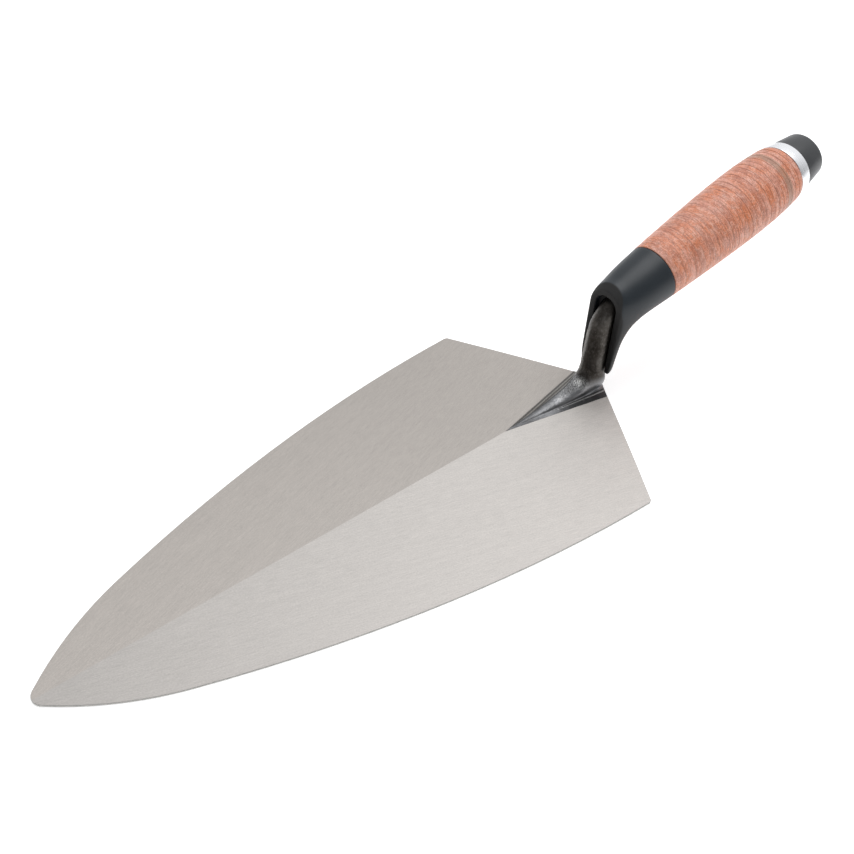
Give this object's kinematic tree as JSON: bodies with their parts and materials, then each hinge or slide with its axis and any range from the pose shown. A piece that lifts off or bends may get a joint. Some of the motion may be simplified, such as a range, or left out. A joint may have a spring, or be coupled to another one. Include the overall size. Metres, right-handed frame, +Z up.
{
  "type": "brick trowel",
  "caption": "Brick trowel with a pointed forged steel blade, cranked shank, black finger guard, stacked leather washer grip and capped butt.",
  "frame": {"origin": "on the plane the blade lies on, under the middle of the trowel's overall length, on its plane of symmetry", "axes": "+X along the overall length from the toe towards the butt, +Y across the blade, +Z up, out of the blade's ground top side"},
  "size_m": [0.4012, 0.1334, 0.0907],
  "materials": {
    "ground_steel": "satin, with fine straight grinding lines that fan out from the ridge",
    "forged_skin": "dark scaled forging skin, pitted on the foot",
    "guard_plastic": "black, satin moulded",
    "leather": "lacquered, edges of the stacked washers sanded flush",
    "ring_aluminium": "bright turned",
    "hardware_steel": "zinc plated",
    "cap_plastic": "charcoal, moulded"
  },
  "bodies": {
    "root": {"blade": "ground_steel", "shank_and_tang": "forged_skin", "finger_guard": "guard_plastic", "leather_washer_01": "leather", "leather_washer_02": "leather", "leather_washer_03": "leather", "leather_washer_04": "leather", "leather_washer_05": "leather", "leather_washer_06": "leather", "leather_washer_07": "leather", "leather_washer_08": "leather", "leather_washer_09": "leather", "leather_washer_10": "leather", "leather_washer_11": "leather", "leather_washer_12": "leather", "leather_washer_13": "leather", "leather_washer_14": "leather", "leather_washer_15": "leather", "leather_washer_16": "leather", "leather_washer_17": "leather", "leather_washer_18": "leather", "leather_washer_19": "leather", "leather_washer_20": "leather", "leather_washer_21": "leather", "leather_washer_22": "leather", "leather_washer_23": "leather", "leather_washer_24": "leather", "leather_washer_25": "leather", "leather_washer_26": "leather", "leather_washer_27": "leather", "leather_washer_28": "leather", "butt_ring": "ring_aluminium", "pressure_washer": "hardware_steel", "tang_nut": "hardware_steel", "butt_cap": "cap_plastic"}
  },
  "joints": []
}
